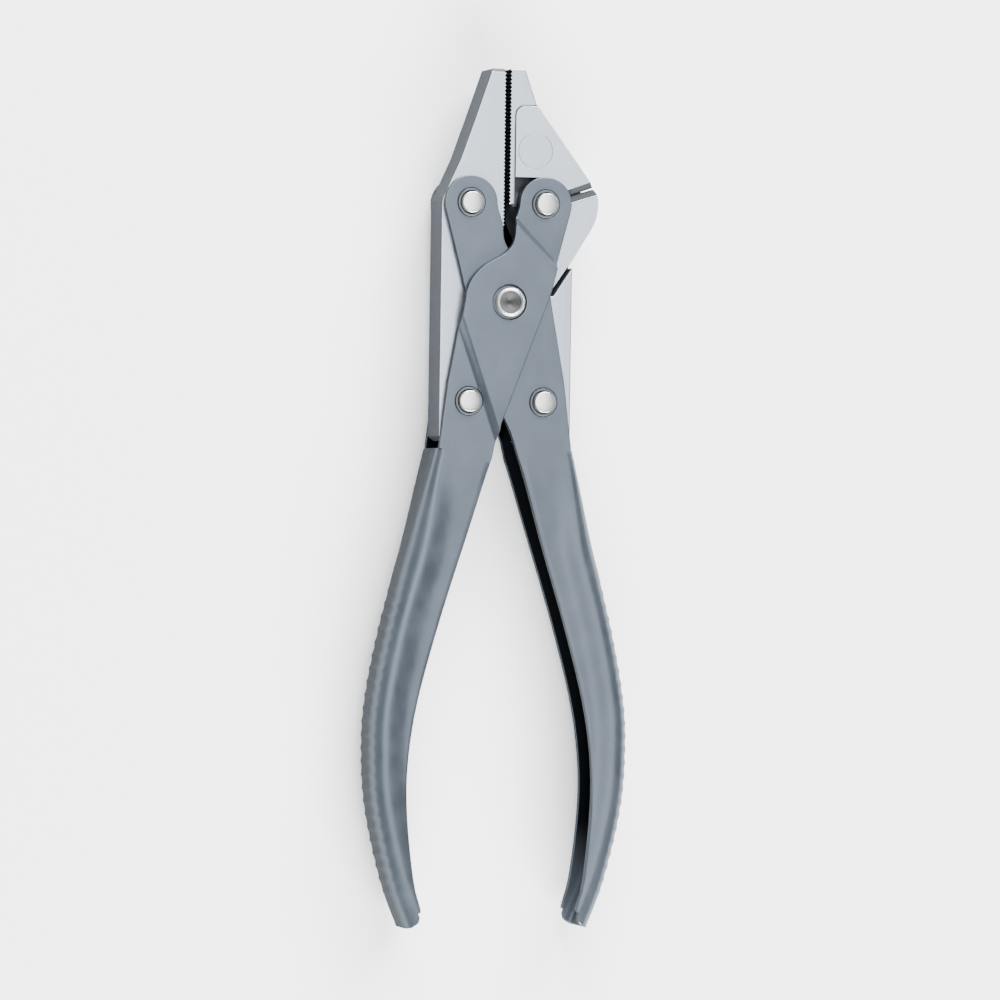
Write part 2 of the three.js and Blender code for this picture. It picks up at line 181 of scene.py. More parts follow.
def spline_points(stops, count):
    """Points spread evenly by length on a Catmull-Rom curve through the stops."""
    stops = [Vector(stop) for stop in stops]
    fine = []
    for i in range(len(stops) - 1):
        before = stops[max(i - 1, 0)]
        after = stops[min(i + 2, len(stops) - 1)]
        a, b = stops[i], stops[i + 1]
        for k in range(40):
            t = k / 40
            fine.append(0.5 * (2 * a + (b - before) * t + (2 * before - 5 * a + 4 * b - after) * t * t
                               + (3 * a - before - 3 * b + after) * t ** 3))
    fine.append(stops[-1])
    lengths = [0.0]
    for a, b in zip(fine, fine[1:]):
        lengths.append(lengths[-1] + (b - a).length)
    points, k = [], 0
    for i in range(count + 1):
        want = lengths[-1] * i / count
        while k < len(fine) - 2 and lengths[k + 1] < want:
            k += 1
        share = (want - lengths[k]) / (lengths[k + 1] - lengths[k])
        points.append(fine[k].lerp(fine[k + 1], share))
    return points


def bezier_points(a, handle_a, handle_b, b, count):
    """Points after a, up to and with b."""
    return [Vector(p) for p in interpolate_bezier(
        Vector(a), Vector(handle_a), Vector(handle_b), Vector(b), count + 1)][1:]


def arc_points(centre, radius, start, end, count):
    turns = [math.radians(start + (end - start) * i / count) for i in range(count + 1)]
    return [Vector((centre[0] + radius * math.cos(a), centre[1] + radius * math.sin(a))) for a in turns]


# ---------------------------------------------------------------- mesh helpers

def node_copy(name):
    """A CAD node's mesh as a closed bmesh with its flat faces whole."""
    bm = bmesh.new()
    bm.from_mesh(frame["nodes"][name].data)
    bmesh.ops.remove_doubles(bm, verts=bm.verts[:], dist=1e-6)
    bmesh.ops.dissolve_limit(
        bm, angle_limit=math.radians(0.6), use_dissolve_boundaries=False,
        verts=bm.verts[:], edges=bm.edges[:], delimit=set())
    return bm


def sharp_edges(bm, angle, keep):
    return [e for e in bm.edges if len(e.link_faces) == 2 and e.calc_face_angle(0) > angle and keep(e)]


def soften(bm, width, segments=2, angle=math.radians(38), keep=lambda edge: True):
    """Rounds the sharp edges and marks the new faces in the edge mask."""
    layer = bm.faces.layers.float.get(EDGE_MASK) or bm.faces.layers.float.new(EDGE_MASK)
    made = bmesh.ops.bevel(
        bm, geom=sharp_edges(bm, angle, keep), offset=width, offset_type="OFFSET", segments=segments,
        profile=0.5, affect="EDGES", clamp_overlap=False, material=-1)
    for face in made["faces"]:
        face[layer] = 1.0


def shade_faces(bm, rule):
    """Paints shade: marks how dark each face is painted, from its centre (millimetres from the pivot) and its
    normal.
    """
    layer = bm.faces.layers.float.new(SHADE_MASK)
    for face in bm.faces:
        face[layer] = rule((face.calc_center_median() - PIVOT) / MM, face.normal)


def finish_piece(bm, node, material, smooth=math.radians(40)):
    """Turns a bmesh into the shown piece that stands for one CAD node."""
    for mask in (EDGE_MASK, SHADE_MASK):
        if bm.faces.layers.float.get(mask) is None:
            bm.faces.layers.float.new(mask)
    for face in bm.faces:
        face.smooth = True
    for edge in bm.edges:
        edge.smooth = not (len(edge.link_faces) == 2 and edge.calc_face_angle(0) > smooth)
    name = f"{node}_shown"
    mesh = bpy.data.meshes.new(name)
    bm.to_mesh(mesh)
    bm.free()
    mesh.materials.append(material)
    piece = bpy.data.objects.new(name, mesh)
    bpy.context.scene.collection.objects.link(piece)
    even = piece.modifiers.new("Even shading", "WEIGHTED_NORMAL")
    even.keep_sharp = True
    even.weight = 60
    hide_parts(node)
    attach(piece, body_of(node))
    return piece


def turned(profile, centre, steps, closed=False):
    """Spins a half outline of (radius, height) pairs about the vertical through centre."""
    bm = bmesh.new()
    rim = [bm.verts.new((radius, 0, height)) for radius, height in profile]
    pairs = list(zip(rim, rim[1:])) + ([(rim[-1], rim[0])] if closed else [])
    lines = [bm.edges.new(pair) for pair in pairs]
    bmesh.ops.spin(
        bm, geom=rim + lines, cent=(0, 0, 0), axis=(0, 0, 1), dvec=(0, 0, 0),
        angle=math.tau, steps=steps, use_merge=True, use_duplicate=False)
    bmesh.ops.remove_doubles(bm, verts=bm.verts[:], dist=1e-7)
    bmesh.ops.recalc_face_normals(bm, faces=bm.faces[:])
    bmesh.ops.translate(bm, verts=bm.verts[:], vec=centre)
    return bm


def turn_over(bm):
    """Turns a piece over about the line along the tool through the pivots' middle."""
    over = Matrix.Translation((0, 0, PIVOT.z)) @ Matrix.Rotation(math.pi, 4, "Y") @ Matrix.Translation(
        (0, 0, -PIVOT.z))
    bmesh.ops.transform(bm, matrix=over, verts=bm.verts[:])


# ---------------------------------------------------------------- handles
# Plan sizes in millimetres from the central pivot, as the pressing is drawn.

SHEET = 1.5
CHEEK_OUT = 6.2
RAISE = 1.7
FOLD_START = 1.7
CHEEK_INSET = 0.45
FOLD = 3.4
FOLD_GROWTH = 24.0
CHEEK_DIP = 0.8
DIP_WIDTH = 4.2
BOSS = 5.65
HOLE = 3.0
PIVOT_HOLES = {1: 3.65, -1: 3.1}
END_RADIUS = 3.5
DIP_STEPS = 8
FOLD_STEPS = 8
GRIP_BACK = [(-14.8, -30.6), (-19.75, -50), (-24.5, -67.5), (-27.5, -83), (-28.1, -94),
             (-27.2, -106), (-24, -120), (-20.6, -129)]
GRIP_EDGE = [(-2.9, -32.6), (-4.5, -37.4), (-8.3, -50), (-13.6, -67), (-17.9, -83), (-19.8, -95),
             (-20, -106), (-18.6, -120), (-16.6, -129)]
END_CENTRE = (-20.1, -127.5)
END_RINGS = 12
SHORT_EDGE = 0.15
END_LIT = 0.5          # light that reaches into the open end of the channel
END_LIT_FROM = -108
END_LIT_RUN = 14
CROTCH = {1: [(-2.2, -29.2), (-1.5, -25.6)], -1: [(-1.7, -28.9), (-0.9, -26.8), (0.4, -24.2)]}
JOGGLES = [{"at": (1.1, 16.5), "away": 43.8, "run": 1.5}, {"at": (-9.77, -3.3), "away": 199.3, "run": 1.7}]
SCALLOP_FROM = 27.0
SCALLOP_TO = 98.0


def smooth(t):
    t = min(max(t, 0.0), 1.0)
    return t * t * (3 - 2 * t)


def away_of(joggle):
    return Vector((math.cos(math.radians(joggle["away"])), math.sin(math.radians(joggle["away"]))))


def lift(point):
    """How far the front cheek stands above the flat one, in millimetres."""
    height = RAISE
    for joggle in JOGGLES:
        t = (Vector(point[:2]) - Vector(joggle["at"])).dot(away_of(joggle)) / joggle["run"]
        height = min(height, RAISE * (1 - smooth(t)))
    return height


def grip_stations(count):
    """Back points, inward directions and channel depths along the grip."""
    back = spline_points(GRIP_BACK, count)
    edge = spline_points(GRIP_EDGE, 160)
    stations = []
    for i, point in enumerate(back):
        along = (back[min(i + 1, count)] - back[max(i - 1, 0)]).normalized()
        inward = Vector((-along.y, along.x))
        depth = 4.0
        for a, b in zip(edge, edge[1:]):
            hit = intersect_line_line_2d(point, point + inward * 16, a, b)
            if hit:
                depth = (Vector(hit) - point).length
        stations.append((point, along, inward, depth))
    return stations


def channel_half(depth, radius, dip, inset):
    """Half of the U section, free edge to the middle of the back, as (inward, height) pairs."""
    half = []
    for k in range(DIP_STEPS + 1):
        across = depth + (radius - depth) * k / DIP_STEPS
        half.append((across, CHEEK_OUT - dip * smooth((across - radius) / DIP_WIDTH) - inset))
    for k in range(1, FOLD_STEPS + 1):
        turn = math.radians(90 * k / FOLD_STEPS)
        reach = radius - inset
        half.append((radius - reach * math.sin(turn), CHEEK_OUT - radius + reach * math.cos(turn)))
    half += [(inset, (CHEEK_OUT - radius) * share) for share in (0.6, 0.2)]
    return half


def channel_section(depth, opened):
    """Outer line of the U section, then its inner line, from free edge to free edge."""
    radius = FOLD_START + (FOLD - FOLD_START) * opened
    lines = []
    for inset in (0.0, SHEET):
        half = channel_half(depth, radius, CHEEK_DIP * opened, inset)
        lines.append(half + [(across, -height) for across, height in half[::-1]])
    return lines, radius


def scallop(distance, settings):
    """Depth of the pressed scallops at a distance along the back, in millimetres."""
    if not SCALLOP_FROM < distance < SCALLOP_TO:
        return 0.0
    fade = min((distance - SCALLOP_FROM) / 6, (SCALLOP_TO - distance) / 6, 1.0)
    phase = math.pi * distance * MM / settings.rib_pitch
    return fade * settings.rib_depth / MM * abs(math.sin(phase)) ** 0.8


def past_end(spot, along):
    """How far past a spot the handle's end lies, along the grip: square, with a rounded free corner."""
    reach = 0.0
    for _ in range(6):
        aside = min(max(spot.x + along.x * reach - END_CENTRE[0], 0.0), END_RADIUS)
        end_y = END_CENTRE[1] - math.sqrt(END_RADIUS ** 2 - aside ** 2)
        reach = (end_y - spot.y) / along.y
    return reach


def grip_channel(bm, settings):
    """Extrudes the U section along the grip, ring by ring, and returns its first ring."""
    length = sum((Vector(b) - Vector(a)).length for a, b in zip(GRIP_BACK, GRIP_BACK[1:]))
    count = 280
    stations = grip_stations(count)
    ring, first = None, None
    for i, (point, along, inward, depth) in enumerate(stations):
        travelled = length * i / count
        (outer, inner), radius = channel_section(depth, smooth(travelled / FOLD_GROWTH))
        dip = scallop(travelled, settings)
        places = []
        for line, weight in ((outer, 1.0), (inner[::-1], 0.0)):
            for across, height in line:
                flatness = max(0.0, 1 - (across / radius) * 1.6) * weight
                spot = point + inward * (across + dip * flatness)
                stretch = max(0.0, (i - count + END_RINGS) / END_RINGS)
                spot += along * past_end(point + inward * across, along) * stretch
                places.append(Vector((spot.x, spot.y, height)))
        if ring is None:
            ring = [bm.verts.new(place) for place in places]
            first = ring
            edges = [bm.edges.new((ring[k], ring[(k + 1) % len(ring)])) for k in range(len(ring))]
        else:
            made = bmesh.ops.extrude_edge_only(bm, edges=edges)["geom"]
            edges = [item for item in made if isinstance(item, bmesh.types.BMEdge)]
            fresh = {v for edge in edges for v in edge.verts}
            follow = {}
            for old in ring:
                follow[old] = next(e.other_vert(old) for e in old.link_edges if e.other_vert(old) in fresh)
            ring = [follow[old] for old in ring]
            for vert, place in zip(ring, places):
                vert.co = place
    half = len(ring) // 2
    for k in range(half - 1):
        bm.faces.new((ring[k], ring[k + 1], ring[-k - 2], ring[-k - 1]))
    for k in range(DIP_STEPS, half - 1 - DIP_STEPS):
        bm.faces.new((first[k + 1], first[k], first[-k - 1], first[-k - 2]))
    return first


def cheek_outline(side, junction):
    """Plan of one cheek above the grip, closed along the junction where it runs into the grip."""
    rivet = (RIVET.x / MM, RIVET.y / MM)
    edge = [p for p in spline_points(GRIP_EDGE, 160) if p.y > junction[0].y + 0.4][::-1]
    crotch = [p for i, p in enumerate(edge) if i % 2 == 0 or p == edge[-1]]
    points = [junction[0]] + crotch + [Vector(p) for p in CROTCH[side]] + [Vector((8.7, 1.2))]
    points += bezier_points((8.7, 1.2), (9.2, 2.5), (9.55, 3.7), (9.8, 5.0), 5)
    boss = arc_points(rivet, BOSS, -14, 182, 26)
    points += boss
    points += bezier_points(boss[-1], (2.2, 18.6), (1.0, 17), (1.1, 15), 8)
    points += bezier_points((1.1, 15), (1.0, 9.6), (-3.4, 9.6), (-6.0, 7.2), 14)
    points += bezier_points((-6.0, 7.2), (-8.4, 5.2), (-9.4, 3), (-9.5, 0.5), 10)
    inward = (junction[0] - junction[-1]).normalized()
    points += [Vector((-10.6, -5.6)), Vector((-12.6, -16.5)), Vector(GRIP_BACK[0]) + inward * CHEEK_INSET]
    return points + junction[:0:-1]


def cheek(bm, side, junction):
    """One cheek plate: filled plan with its holes, joggled on the front, then given its thickness."""
    rivet = (RIVET.x / MM, RIVET.y / MM)
    holes = [(rivet, HOLE), ((-rivet[0], -rivet[1]), HOLE), ((0, 0), PIVOT_HOLES[side])]
    loops = [cheek_outline(side, junction)]
    loops += [arc_points(centre, radius, 0, 360, 48)[:-1] for centre, radius in holes]
    plate = bmesh.new()
    for loop in loops:
        verts = [plate.verts.new((p.x, p.y, 0)) for p in loop]
        for k, vert in enumerate(verts):
            plate.edges.new((vert, verts[(k + 1) % len(verts)]))
    bmesh.ops.triangle_fill(plate, use_beauty=True, use_dissolve=False, edges=plate.edges[:])
    cuts = [(Vector((*centre, 0)), Vector((0, 1, 0))) for centre, _ in holes]
    if side > 0:
        for joggle in JOGGLES:
            away = Vector((*away_of(joggle), 0))
            start = Vector((*joggle["at"], 0))
            cuts += [(start + away * joggle["run"] * k / 8, away) for k in range(9)]
    for at, across in cuts:
        bmesh.ops.bisect_plane(
            plate, geom=plate.verts[:] + plate.edges[:] + plate.faces[:], dist=1e-4,
            plane_co=at, plane_no=across)

    def cut(*verts):
        return any(all(abs((v.co - at).dot(across)) < 2e-3 for v in verts) for at, across in cuts)

    weld = {}
    for edge in plate.edges:
        a, b = edge.verts
        if edge.is_boundary and edge.calc_length() < SHORT_EDGE and cut(a) != cut(b):
            kept, moved = (a, b) if cut(a) else (b, a)
            near = [e.other_vert(moved) for e in moved.link_edges if e.calc_length() < SHORT_EDGE]
            weld[moved] = kept
            weld.update({v: kept for v in near if v is not kept and not v.is_boundary})
    bmesh.ops.weld_verts(plate, targetmap=weld)
    bmesh.ops.dissolve_degenerate(plate, edges=plate.edges[:], dist=1e-4)
    loose = [edge for edge in plate.edges if len(edge.link_faces) == 2 and not cut(*edge.verts)]
    bmesh.ops.dissolve_edges(plate, edges=loose, use_verts=False, use_face_split=False)
    passed = [vert for vert in plate.verts if len(vert.link_edges) == 2 and not vert.is_boundary]
    bmesh.ops.dissolve_verts(plate, verts=passed)
    for vert in plate.verts:
        vert.co.z = CHEEK_OUT + (lift(vert.co) if side > 0 else 0)
    for face in plate.faces:
        if face.normal.z < 0:
            face.normal_flip()
    grown = bmesh.ops.extrude_face_region(plate, geom=plate.faces[:], use_keep_orig=True)["geom"]
    lower = [item for item in grown if isinstance(item, bmesh.types.BMVert)]
    bmesh.ops.translate(plate, verts=lower, vec=(0, 0, -SHEET))
    bmesh.ops.recalc_face_normals(plate, faces=plate.faces[:])
    start, line = junction[0], junction[-1] - junction[0]
    seam = [face for face in plate.faces if all(
        abs((v.co.xy - start).cross(line)) < 1e-3 * line.length
        and -1e-3 < (v.co.xy - start).dot(line) / line.length_squared < 1 + 1e-3 for v in face.verts)]
    bmesh.ops.delete(plate, geom=seam, context="FACES_ONLY")
    bmesh.ops.delete(plate, geom=[edge for edge in plate.edges if edge.is_wire], context="EDGES")
    if side < 0:
        bmesh.ops.transform(plate, matrix=Matrix.Diagonal((1, 1, -1, 1)), verts=plate.verts[:])
    part = bpy.data.meshes.new("cheek")
    plate.to_mesh(part)
    plate.free()
    bm.from_mesh(part)
    bpy.data.meshes.remove(part)


def handle_mesh(settings):
    bm = bmesh.new()
    first = grip_channel(bm, settings)
    junction = [vert.co.xy.copy() for vert in first[:DIP_STEPS + 1]]
    cheek(bm, 1, junction)
    cheek(bm, -1, junction)
    bmesh.ops.remove_doubles(bm, verts=bm.verts[:], dist=2e-3)
    bmesh.ops.recalc_face_normals(bm, faces=bm.faces[:])
    bmesh.ops.scale(bm, vec=(MM, MM, MM), verts=bm.verts[:])
    bmesh.ops.translate(bm, vec=PIVOT, verts=bm.verts[:])
    shade_faces(bm, handle_shade)
    return bm


# Painted shade inside the handle's channel, growing lighter towards its open end.
def handle_shade(centre, normal):
    if normal.z * centre.z < -0.1 or (normal.x > 0.3 and abs(centre.z) < CHEEK_OUT - SHEET - 0.3):
        return INSIDE_SHADE - END_LIT * smooth((END_LIT_FROM - centre.y) / END_LIT_RUN)
    return 0.0


# ---------------------------------------------------------------- rivets and rings

def pin_profile(node, settings):
    """Half outline of a plain pin with rounded rims and slightly crowned ends."""
    size = size_of(node)
    radius, end = size.x / 2, size.z / 2
    rim = 0.14 * MM
    half = [(0, end)]
    half += [(radius * 0.8 * k / 4, end - settings.dome * (0.8 * k / 4) ** 2) for k in range(1, 5)]
    for k in range(5):
        turn = math.radians(90 - 90 * k / 4)
        half.append((radius - rim + rim * math.cos(turn), end - settings.dome - rim + rim * math.sin(turn)))
    return [(r, -z) for r, z in half] + [(r, z) for r, z in half[::-1]]


def ring_profile(inner, outer, low, high, chamfer):
    """Closed half outline of a ring with broken edges."""
    return [
        (inner + chamfer, low), (outer - chamfer, low), (outer, low + chamfer), (outer, high - chamfer),
        (outer - chamfer, high), (inner + chamfer, high), (inner, high - chamfer), (inner, low + chamfer)]


def pivot_profile(node):
    """Half outline of a hollow pivot rivet: countersunk foot, rolled rim, drilled bore."""
    size = size_of(node)
    foot, top = -size.z / 2, size.z / 2
    radius, bore = 3.0 * MM, 2.4 * MM
    roll = (radius - bore) / 2
    half = [(0, foot), (size.x / 2, foot), (radius, foot + 0.95 * MM)]
    half += [(radius, top - roll - step * MM) for step in (1.0, 0.3)]
    for k in range(9):
        turn = math.pi * k / 8
        half.append((bore + roll + roll * math.cos(turn), top - roll + roll * math.sin(turn)))
    half += [(bore, top - 1.1 * MM), (bore - 0.12 * MM, top - 1.25 * MM), (bore - 0.5 * MM, top - 1.3 * MM)]
    half += [(bore - 0.6 * MM, top - 1.45 * MM), (0.25 * MM, top - 2.35 * MM), (0, top - 2.38 * MM)]
    return half


# Painted shade on the pins' steep faces.
def pin_shade(centre, normal):
    return PIN_SIDE_SHADE if abs(normal.z) < 0.5 else 0.0


def pivot_shade(centre, normal):
    """Painted shade: the bore is painted dark, steep faces outside it get half shade, and the rolled rim stays
    bright.
    """
    radius = math.hypot(centre.x, centre.y)
    if radius < 2.35:
        return BORE_SHADE
    return RIM_SIDE_SHADE if abs(normal.z) < 0.3 else 0.0


# ---------------------------------------------------------------- materials

def socket(group, name, kind, direction, default=None):
    made = group.interface.new_socket(name=name, in_out=direction, socket_type=kind)
    if default is not None:
        made.default_value = default
    return made


def new_group(name, inputs, outputs):
    group = bpy.data.node_groups.new(name, "ShaderNodeTree")
    for label, kind, default in inputs:
        socket(group, label, kind, "INPUT", default)
    for label, kind in outputs:
        socket(group, label, kind, "OUTPUT")
    return group, group.nodes.new("NodeGroupInput"), group.nodes.new("NodeGroupOutput")


def math_node(tree, operation, a, b=None, clamp=False):
    node = tree.nodes.new("ShaderNodeMath")
    node.operation = operation
    node.use_clamp = clamp
    for place, value in enumerate((a, b)):
        if value is None:
            continue
        if isinstance(value, (int, float)):
            node.inputs[place].default_value = value
        else:
            tree.links.new(value, node.inputs[place])
    return node.outputs[0]


def noise_node(tree, vector, scale, detail, roughness=0.5):
    node = tree.nodes.new("ShaderNodeTexNoise")
    tree.links.new(vector, node.inputs["Vector"])
    node.inputs["Scale"].default_value = scale
    node.inputs["Detail"].default_value = detail
    node.inputs["Roughness"].default_value = roughness
    return node.outputs["Fac"]


def stretched(tree, scale, turn=0.0):
    """Object coordinates, turned in plan and scaled on each axis."""
    place = tree.nodes.new("ShaderNodeTexCoord").outputs["Object"]
    mapping = tree.nodes.new("ShaderNodeMapping")
    mapping.vector_type = "POINT"
    mapping.inputs["Rotation"].default_value = (0, 0, turn)
    mapping.inputs["Scale"].default_value = scale
    tree.links.new(place, mapping.inputs["Vector"])
    return mapping.outputs["Vector"]


def grain_group():
    """Fine ground lines along the tool, with a few deeper ones."""
    group, given, result = new_group(
        "Ground grain", [("Strength", "NodeSocketFloat", 1.0)],
        [("Height", "NodeSocketFloat"), ("Tone", "NodeSocketFloat")])
    fine = noise_node(group, stretched(group, (9000, 120, 9000)), 1.0, 3.0, 0.6)
    broad = noise_node(group, stretched(group, (1500, 28, 1500)), 1.0, 2.0)
    mixed = math_node(
        group, "ADD", math_node(group, "MULTIPLY", fine, 0.6), math_node(group, "MULTIPLY", broad, 0.4))
    centred = math_node(group, "SUBTRACT", mixed, 0.5)
    group.links.new(math_node(group, "MULTIPLY", centred, given.outputs["Strength"]), result.inputs["Height"])
    tone = math_node(group, "ADD", math_node(group, "MULTIPLY", centred, 1.6), 0.5, True)
    group.links.new(tone, result.inputs["Tone"])
    return group


def blast_group():
    """Fine even pitting of a bead-blasted sheet over soft broad mottling."""
    group, given, result = new_group(
        "Blasted skin", [("Strength", "NodeSocketFloat", 1.0)],
        [("Height", "NodeSocketFloat"), ("Mottle", "NodeSocketFloat")])
    pits = noise_node(group, stretched(group, (5200, 5200, 5200)), 1.0, 4.0, 0.65)
    soft = noise_node(group, stretched(group, (260, 160, 260)), 1.0, 3.0)
    group.links.new(
        math_node(group, "MULTIPLY", math_node(group, "SUBTRACT", pits, 0.5), given.outputs["Strength"]),
        result.inputs["Height"])
    group.links.new(soft, result.inputs["Mottle"])
    return group


def edge_rub_and_highlight_group():
    """Mask of the handled edges, broken up by noise: rubbed edges that also carry a painted highlight."""
    group, given, result = new_group(
        "Edge wear", [("Amount", "NodeSocketFloat", 1.0)], [("Mask", "NodeSocketFloat")])
    mark = group.nodes.new("ShaderNodeAttribute")
    mark.attribute_name = EDGE_MASK
    patchy = noise_node(group, stretched(group, (700, 380, 700)), 1.0, 3.0)
    kept = math_node(group, "ADD", math_node(group, "MULTIPLY", patchy, 1.2), 0.15, True)
    rubbed_and_lit = math_node(group, "MULTIPLY", mark.outputs["Fac"], kept)
    group.links.new(math_node(group, "MULTIPLY", rubbed_and_lit, given.outputs["Amount"], True), result.inputs["Mask"])
    return group


def scratch_group():
    """Sparse hair scratches in two crossing directions."""
    group, given, result = new_group(
        "Hair scratches", [("Amount", "NodeSocketFloat", 1.0)], [("Mask", "NodeSocketFloat")])
    marks = []
    for turn, scale in ((0.35, (3800, 70, 900)), (-0.8, (3000, 90, 900))):
        line = noise_node(group, stretched(group, scale, turn), 1.0, 1.0)
        marks.append(math_node(group, "MULTIPLY", math_node(group, "SUBTRACT", line, 0.70), 9.0, True))
    both = math_node(group, "MAXIMUM", marks[0], marks[1])
    group.links.new(math_node(group, "MULTIPLY", both, given.outputs["Amount"], True), result.inputs["Mask"])
    return group


def place_group(tree, group, **values):
    node = tree.nodes.new("ShaderNodeGroup")
    node.node_tree = group
    for name, value in values.items():
        node.inputs[name].default_value = value
    return node


def mix_colour(tree, share, a, b):
    node = tree.nodes.new("ShaderNodeMix")
    node.data_type = "RGBA"
    tree.links.new(share, node.inputs["Factor"])
    for label, value in (("A", a), ("B", b)):
        spot = next(i for i in node.inputs if i.name == label and i.type == "RGBA")
        if isinstance(value, tuple):
            spot.default_value = (*value, 1)
        else:
            tree.links.new(value, spot)
    return next(o for o in node.outputs if o.type == "RGBA")


def shade(colour, factor):
    return tuple(min(1.0, channel * factor) for channel in colour)


def steel(name, colour, roughness, skin, skin_strength, bump, rub_and_highlight, scratches, spread, side_shade):
    """A steel whose tone, roughness and fine relief vary over the surface, with lighter rubbed edges that are
    partly a painted highlight, and painted shade on steep and marked faces.
    """
    material = bpy.data.materials.new(name)
    material.use_nodes = True
    tree = material.node_tree
    shader = tree.nodes["Principled BSDF"]
    colour = tuple(colour)
    surface = place_group(tree, bpy.data.node_groups[skin], Strength=skin_strength)
    tone = surface.outputs[1]
    edges = place_group(tree, bpy.data.node_groups["Edge wear"], Amount=rub_and_highlight).outputs["Mask"]
    hairs = place_group(tree, bpy.data.node_groups["Hair scratches"], Amount=scratches).outputs["Mask"]
    base = mix_colour(tree, tone, shade(colour, 1 - spread), shade(colour, 1 + spread))
    # Lighter rubbed edges, partly a painted edge highlight.
    base = mix_colour(tree, edges, base, shade(colour, 1.2))
    base = mix_colour(tree, hairs, base, shade(colour, 1.2))
    # Painted shade: steep faces and faces marked in the shade mask are darkened towards black and lose their metal
    # sheen.
    shade_mark = tree.nodes.new("ShaderNodeAttribute")
    shade_mark.attribute_name = SHADE_MASK
    parts = tree.nodes.new("ShaderNodeSeparateXYZ")
    tree.links.new(tree.nodes.new("ShaderNodeNewGeometry").outputs["Normal"], parts.inputs["Vector"])
    flat = math_node(tree, "ABSOLUTE", parts.outputs["Z"])
    upright_shade = math_node(tree, "MULTIPLY", math_node(tree, "SUBTRACT", 1.0, flat), side_shade)
    painted_shade = math_node(tree, "MAXIMUM", upright_shade, shade_mark.outputs["Fac"])
    base = mix_colour(tree, painted_shade, base, shade(colour, 0.03))
    tree.links.new(math_node(tree, "SUBTRACT", 1.0, painted_shade, True), shader.inputs["Metallic"])
    shader.inputs["Specular IOR Level"].default_value = 0.0
    tree.links.new(base, shader.inputs["Base Color"])
    rough = math_node(tree, "ADD", math_node(tree, "MULTIPLY", tone, 0.16), roughness - 0.08)
    rough = math_node(tree, "SUBTRACT", rough, math_node(tree, "MULTIPLY", edges, 0.12), True)
    tree.links.new(rough, shader.inputs["Roughness"])
    relief = tree.nodes.new("ShaderNodeBump")
    relief.inputs["Strength"].default_value = bump
    relief.inputs["Distance"].default_value = 0.02 * MM
    height = math_node(tree, "SUBTRACT", surface.outputs["Height"], math_node(tree, "MULTIPLY", hairs, 0.5))
    tree.links.new(height, relief.inputs["Height"])
    tree.links.new(relief.outputs["Normal"], shader.inputs["Normal"])
    return material


# ---------------------------------------------------------------- operators

class PLIERS_OT_steels(bpy.types.Operator):
    """Builds the shared surface effects and the five steels"""
    bl_idname = "pliers.steels"
    bl_label = "Steels"

    def execute(self, context):
        steels = context.scene.pliers_steels
        grain_group()
        blast_group()
        edge_rub_and_highlight_group()
        scratch_group()
        # The last number of each steel is how much painted shade its steep faces get.
        steel("Satin handle steel", steels.handle_colour, 0.38, "Blasted skin",
              1.0, 0.35, 0.4, 0.25, 0.06, 0.8)
        steel("Ground jaw steel", steels.jaw_colour, 0.34, "Ground grain", 1.0, 0.30, 0.4, 0.35, 0.08, 0.85)
        steel("Cutter plate steel", steels.blade_colour, 0.32, "Ground grain",
              0.8, 0.25, 0.3, 0.25, 0.07, 0.85)
        steel("Polished rivet steel", steels.rivet_colour, 0.26, "Blasted skin",
              0.5, 0.06, 0.3, 0.3, 0.04, 0.4)
        steel("Dull collar steel", steels.collar_colour, 0.42, "Blasted skin", 0.8, 0.25, 0.4, 0.2, 0.08, 0.5)
        return {"FINISHED"}


class PLIERS_OT_handles(bpy.types.Operator):
    """Builds both folded handles from one pressing"""
    bl_idname = "pliers.handles"
    bl_label = "Handles"

    def execute(self, context):
        settings = context.scene.pliers_handles
        material = bpy.data.materials["Satin handle steel"]
        for node, over in (("left_handle", False), ("right_handle", True)):
            bm = handle_mesh(settings)
            if over:
                turn_over(bm)
            soften(bm, settings.edge)
            finish_piece(bm, node, material)
        return {"FINISHED"}


POCKET_FOOT = 20.6


def split_pocket_floor(bm):
    """Parts the cutter pocket's floor where it runs out into the throat."""
    floor = [face for face in bm.faces
             if face.normal.z > 0.9 and face.calc_center_median().z < PIVOT.z + 3 * MM]
    geom = {item for face in floor for item in (face, *face.edges, *face.verts)}
    bmesh.ops.bisect_plane(
        bm, geom=list(geom), dist=1e-7, plane_co=PIVOT + Vector((0, POCKET_FOOT * MM, 0)), plane_no=(0, 1, 0))


def jaw_shade(centre, normal):
    """Painted shade: ground faces stay bright, side faces are painted darker, the throat and the pocket's walls
    are painted dark, and the pocket floor and the tip chamfer get painted shade.
    """
    if abs(normal.z) > 0.5:
        if centre.y < POCKET_FOOT and abs(centre.z) < 4:
            return INSIDE_SHADE
        if abs(centre.z) < 4:
            return POCKET_AND_TIP_SHADE
        return POCKET_AND_TIP_SHADE if normal.y > 0.4 else 0.0
    if abs(centre.x) < 4.2:
        return INSIDE_SHADE
    return JAW_SIDE_SHADE


# Painted shade on every face of a cutter plate except its upward ones, bevels included.
def blade_shade(centre, normal):
    return 0.0 if normal.z > 0.95 else PLATE_EDGE_SHADE


def is_tooth(edge):
    """True for the short edges of the gripping teeth."""
    return all(abs(v.co.x) < 1.0 * MM and v.co.y > PIVOT.y + 14 * MM for v in edge.verts)


class PLIERS_OT_jaws(bpy.types.Operator):
    """Breaks the edges of both jaw blocks"""
    bl_idname = "pliers.jaws"
    bl_label = "Jaws"

    def execute(self, context):
        width = context.scene.pliers_jaws.edge
        for node in ("left_jaw", "right_jaw"):
            bm = node_copy(node)
            if node == "right_jaw":
                split_pocket_floor(bm)
            shade_faces(bm, jaw_shade)
            soften(bm, width, keep=lambda edge: not is_tooth(edge))
            finish_piece(bm, node, bpy.data.materials["Ground jaw steel"], math.radians(25))
        return {"FINISHED"}


